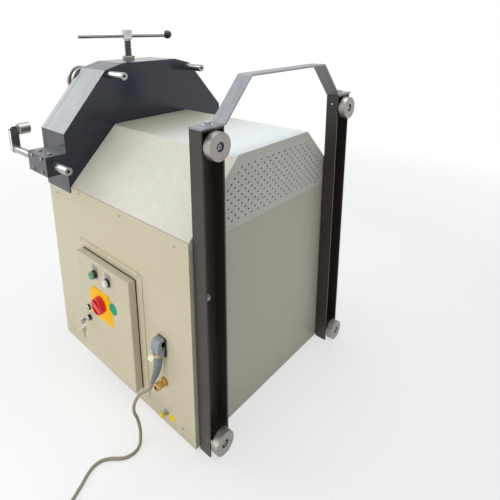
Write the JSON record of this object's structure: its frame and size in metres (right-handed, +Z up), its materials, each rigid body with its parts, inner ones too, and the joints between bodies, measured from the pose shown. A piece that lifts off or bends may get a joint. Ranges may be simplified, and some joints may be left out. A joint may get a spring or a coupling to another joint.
{
  "type": "ring roller",
  "caption": "Powered ring roller on a sheet cabinet: grooved rolls, top pressure screw with sliding bar, side control box, rear rest posts with a strap handle, and a foot switch on a cable.",
  "frame": {"origin": "centre of the base plate's under face, on the floor", "axes": "+Z up, -Y towards the rollers, +X towards the control box"},
  "size_m": [1.5211, 1.0799, 1.226],
  "materials": {
    "beige_paint": "semi-gloss, fine grain",
    "rear_paint": "semi-gloss, in shade",
    "head_paint": "gloss, slightly wavy",
    "post_paint": "semi-gloss",
    "bare_steel": "turned",
    "zinc_steel": "zinc plated",
    "cast_iron": "as cast, painted",
    "hood_grey": "die cast, grey",
    "brass": "turned",
    "green_button": "gloss",
    "lamp_lens": "frosted",
    "red_knob": "gloss",
    "black_plastic": "matt",
    "grey_rubber": "matt",
    "cable_sheath": "matt",
    "treadle_paint": "semi-gloss"
  },
  "bodies": {
    "frame": {"side_panel_control": "beige_paint", "side_panel_plain": "beige_paint", "front_panel": "beige_paint", "rear_access_panel": "beige_paint", "top_hood": "beige_paint", "control_box": "beige_paint", "vented_rear_panel": "rear_paint", "base_plate": "head_paint", "head_deck": "head_paint", "head_front_plate": "head_paint", "head_housing": "head_paint", "guide_block_left": "head_paint", "guide_block_right": "head_paint", "rest_post_left": "post_paint", "rest_post_right": "post_paint", "strap_handle": "zinc_steel", "mounting_plate": "zinc_steel", "bearing_cap_left": "bare_steel", "bearing_cap_right": "bare_steel", "storage_peg_left": "bare_steel", "storage_peg_right": "bare_steel", "spare_roller_left": "bare_steel", "spare_roller_right": "bare_steel", "rest_disc_low_left": "bare_steel", "rest_disc_low_right": "bare_steel", "rest_disc_high_left": "bare_steel", "rest_disc_high_right": "bare_steel", "worm_gearbox": "cast_iron", "drive_motor": "cast_iron", "connector_hood": "hood_grey", "cable_gland": "brass", "connector_base": "black_plastic", "pedal_base": "black_plastic", "strain_relief": "grey_rubber", "cable": "cable_sheath", "cable_coil": "cable_sheath"},
    "left_roll": {"shaft_left": "bare_steel", "roller_left": "bare_steel", "gear_left": "cast_iron"},
    "right_roll": {"shaft_right": "bare_steel", "roller_right": "bare_steel", "gear_right": "cast_iron"},
    "pinion": {"drive_pinion": "cast_iron"},
    "slide": {"press_slide": "bare_steel"},
    "upper_roll": {"shaft_upper": "bare_steel", "roller_upper": "bare_steel"},
    "screw": {"pressure_screw": "bare_steel"},
    "bar": {"tommy_bar": "bare_steel", "bar_ball": "black_plastic"},
    "door": {"box_door": "beige_paint", "pilot_lamp": "lamp_lens"},
    "button": {"start_button": "green_button"},
    "switch_knob": {"main_switch_knob": "red_knob"},
    "key": {"door_key": "bare_steel"},
    "guide_left": {"guide_bar_left": "bare_steel"},
    "guide_right": {"guide_bar_right": "bare_steel"},
    "guide_roll_left": {"guide_roller_left": "bare_steel"},
    "guide_roll_right": {"guide_roller_right": "bare_steel"},
    "foot_left": {"treadle_left": "treadle_paint"},
    "foot_right": {"treadle_right": "treadle_paint"}
  },
  "joints": [
    {"name": "left_roll_turn", "type": "hinge", "parent": "frame", "child": "left_roll", "pos_m": [-0.165, -0.3, 0.815], "axis": [0, 1, 0], "continuous": true},
    {"name": "right_roll_turn", "type": "hinge", "parent": "frame", "child": "right_roll", "pos_m": [0.165, -0.3, 0.815], "axis": [0, 1, 0], "continuous": true},
    {"name": "pinion_turn", "type": "hinge", "parent": "frame", "child": "pinion", "pos_m": [0, -0.3, 0.76643], "axis": [0, 1, 0], "continuous": true},
    {"name": "screw_turn", "type": "hinge", "parent": "slide", "child": "screw", "pos_m": [0, -0.365, 1.1], "axis": [0, 0, 1], "range_deg": [-2990, 1190]},
    {"name": "slide_press", "type": "slide", "parent": "frame", "child": "slide", "axis": [0, 0, 1], "range_m": [-0.05, 0.02]},
    {"name": "upper_roll_turn", "type": "hinge", "parent": "slide", "child": "upper_roll", "pos_m": [0, -0.3, 0.95], "axis": [0, 1, 0], "continuous": true},
    {"name": "bar_slide", "type": "slide", "parent": "screw", "child": "bar", "axis": [-0.9311, 0.3649, 0], "range_m": [-0.135, 0.15]},
    {"name": "door_swing", "type": "hinge", "parent": "frame", "child": "door", "pos_m": [0.387, 0.15, 0.27], "axis": [0, 0, 1], "range_deg": [0, 98]},
    {"name": "button_press", "type": "slide", "parent": "door", "child": "button", "axis": [-1, 0, 0], "range_m": [0, 0.004], "stiffness_N_per_m": 500, "springref_m": -0.006},
    {"name": "switch_turn", "type": "hinge", "parent": "door", "child": "switch_knob", "pos_m": [0.43, -0.022, 0.322], "axis": [1, 0, 0], "range_deg": [0, 90]},
    {"name": "key_turn", "type": "hinge", "parent": "door", "child": "key", "pos_m": [0.43, -0.112, 0.226], "axis": [1, 0, 0], "range_deg": [0, 90]},
    {"name": "guide_slide_left", "type": "slide", "parent": "frame", "child": "guide_left", "axis": [0, 1, 0], "range_m": [-0.08, 0.1]},
    {"name": "guide_roll_turn_left", "type": "hinge", "parent": "guide_left", "child": "guide_roll_left", "pos_m": [-0.426, -0.546, 0.855], "axis": [1, 0, 0], "continuous": true},
    {"name": "guide_slide_right", "type": "slide", "parent": "frame", "child": "guide_right", "axis": [0, 1, 0], "range_m": [-0.08, 0.1]},
    {"name": "guide_roll_turn_right", "type": "hinge", "parent": "guide_right", "child": "guide_roll_right", "pos_m": [0.426, -0.546, 0.855], "axis": [1, 0, 0], "continuous": true},
    {"name": "treadle_press_left", "type": "hinge", "parent": "frame", "child": "foot_left", "pos_m": [0.90345, 0.35728, 0.032], "axis": [-0.4478, 0.8942, 0], "range_deg": [0, 8], "stiffness_Nm_per_rad": 5, "springref_deg": -14.32},
    {"name": "treadle_press_right", "type": "hinge", "parent": "frame", "child": "foot_right", "pos_m": [0.90345, 0.35728, 0.032], "axis": [-0.4478, 0.8942, 0], "range_deg": [0, 8], "stiffness_Nm_per_rad": 5, "springref_deg": -14.32}
  ],
  "couplings": [
    {"joint": "right_roll_turn", "follows": "left_roll_turn", "ratio": 1},
    {"joint": "pinion_turn", "follows": "left_roll_turn", "ratio": -1.15},
    {"joint": "slide_press", "follows": "screw_turn", "m_per_rad": 0.00095493}
  ]
}
